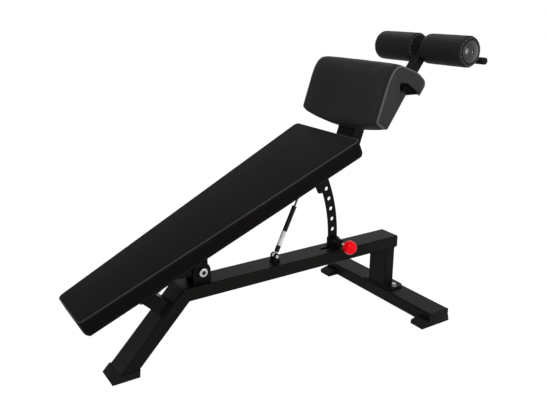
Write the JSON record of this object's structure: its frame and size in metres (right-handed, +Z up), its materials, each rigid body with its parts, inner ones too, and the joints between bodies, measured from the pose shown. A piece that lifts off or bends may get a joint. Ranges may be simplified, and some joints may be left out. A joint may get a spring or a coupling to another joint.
{
  "type": "adjustable weight bench",
  "caption": "Decline sit-up bench: tapered vinyl pad on a tilting tube frame with knee pad, ankle rollers, handle, gas strut and pop-pin arc, on a steel base.",
  "frame": {"origin": "centre of the bounding box in plan, on the floor", "axes": "+X along the bench towards the ankle rollers, +Y across it to the side away from the pin knob, +Z up"},
  "size_m": [1.613, 0.654, 1.0883],
  "materials": {
    "frame_paint": "satin",
    "bright_steel": "polished",
    "plain_steel": "satin",
    "strut_paint": "gloss",
    "vinyl": "satin",
    "roller_vinyl": "satin",
    "plywood": "matte",
    "boot_rubber": "matte",
    "grip_rubber": "matte",
    "black_plastic": "satin",
    "cap_plastic": "satin",
    "knob_plastic": "gloss"
  },
  "bodies": {
    "base": {"main_beam": "frame_paint", "front_leg": "frame_paint", "front_boot": "boot_rubber", "rear_post": "frame_paint", "post_flange": "frame_paint", "rear_cross_foot": "frame_paint", "flange_bolts": "bright_steel", "beam_end_cap": "black_plastic", "pivot_bolt": "bright_steel", "pivot_nut": "bright_steel", "pivot_lug_near": "frame_paint", "pivot_lug_far": "frame_paint", "foot_boot_near": "boot_rubber", "foot_boot_far": "boot_rubber", "pin_cheek_near": "frame_paint", "pin_cheek_far": "frame_paint", "pin_barrel": "frame_paint", "strut_foot_bracket": "frame_paint", "strut_foot_bolt": "bright_steel"},
    "tilt_frame": {"pivot_hub": "frame_paint", "pivot_bushes": "black_plastic", "pivot_hangers": "frame_paint", "rail_near": "frame_paint", "rail_far": "frame_paint", "rail_end_caps": "black_plastic", "upright": "frame_paint", "stop_leg": "frame_paint", "stop_bumper": "boot_rubber", "arc_plate": "frame_paint", "arc_mount": "frame_paint", "strut_head_bracket": "frame_paint", "pad_board": "plywood", "back_pad": "vinyl", "pad_screws": "bright_steel", "knee_front_board": "plywood", "knee_top_board": "plywood", "knee_pad": "vinyl", "knee_screws": "bright_steel", "roller_arm": "frame_paint", "roller_bar": "frame_paint", "handle_stem": "frame_paint", "handle_bar": "frame_paint", "handle_grips": "grip_rubber"},
    "strut_cylinder": {"strut_lower_eye": "plain_steel", "strut_cylinder": "strut_paint", "strut_guide": "plain_steel"},
    "strut_rod": {"strut_rod": "bright_steel", "strut_piston": "plain_steel", "strut_upper_eye": "plain_steel"},
    "pop_pin": {"pin_plunger": "bright_steel", "pin_knob": "knob_plastic", "pin_spring": "plain_steel"},
    "roller_near": {"roller_core_near": "black_plastic", "roller_foam_near": "roller_vinyl", "roller_cap_near": "cap_plastic"},
    "roller_far": {"roller_core_far": "black_plastic", "roller_foam_far": "roller_vinyl", "roller_cap_far": "cap_plastic"}
  },
  "joints": [
    {"name": "tilt", "type": "hinge", "parent": "base", "child": "tilt_frame", "pos_m": [-0.3524, 0, 0.3206], "axis": [0, 1, 0], "range_deg": [0, 21.2]},
    {"name": "strut_swing", "type": "hinge", "parent": "base", "child": "strut_cylinder", "pos_m": [-0.0388, -0.008, 0.3028], "axis": [0, 1, 0], "range_deg": [0, 34.6]},
    {"name": "strut_slide", "type": "slide", "parent": "strut_cylinder", "child": "strut_rod", "axis": [0.4395, 0, 0.8983], "range_m": [-0.0925, 0]},
    {"name": "pop_pin", "type": "slide", "parent": "base", "child": "pop_pin", "axis": [0, 1, 0], "range_m": [0, 0.016], "deforming": ["pin_spring"]},
    {"name": "roller_near_spin", "type": "hinge", "parent": "tilt_frame", "child": "roller_near", "pos_m": [0.67186, 0, 1.03033], "axis": [0, 1, 0], "continuous": true},
    {"name": "roller_far_spin", "type": "hinge", "parent": "tilt_frame", "child": "roller_far", "pos_m": [0.67186, 0, 1.03033], "axis": [0, 1, 0], "continuous": true}
  ],
  "couplings": [
    {"joint": "strut_swing", "follows": "tilt", "ratio": 1.6227},
    {"joint": "strut_slide", "follows": "tilt", "m_per_rad": -0.24806}
  ]
}
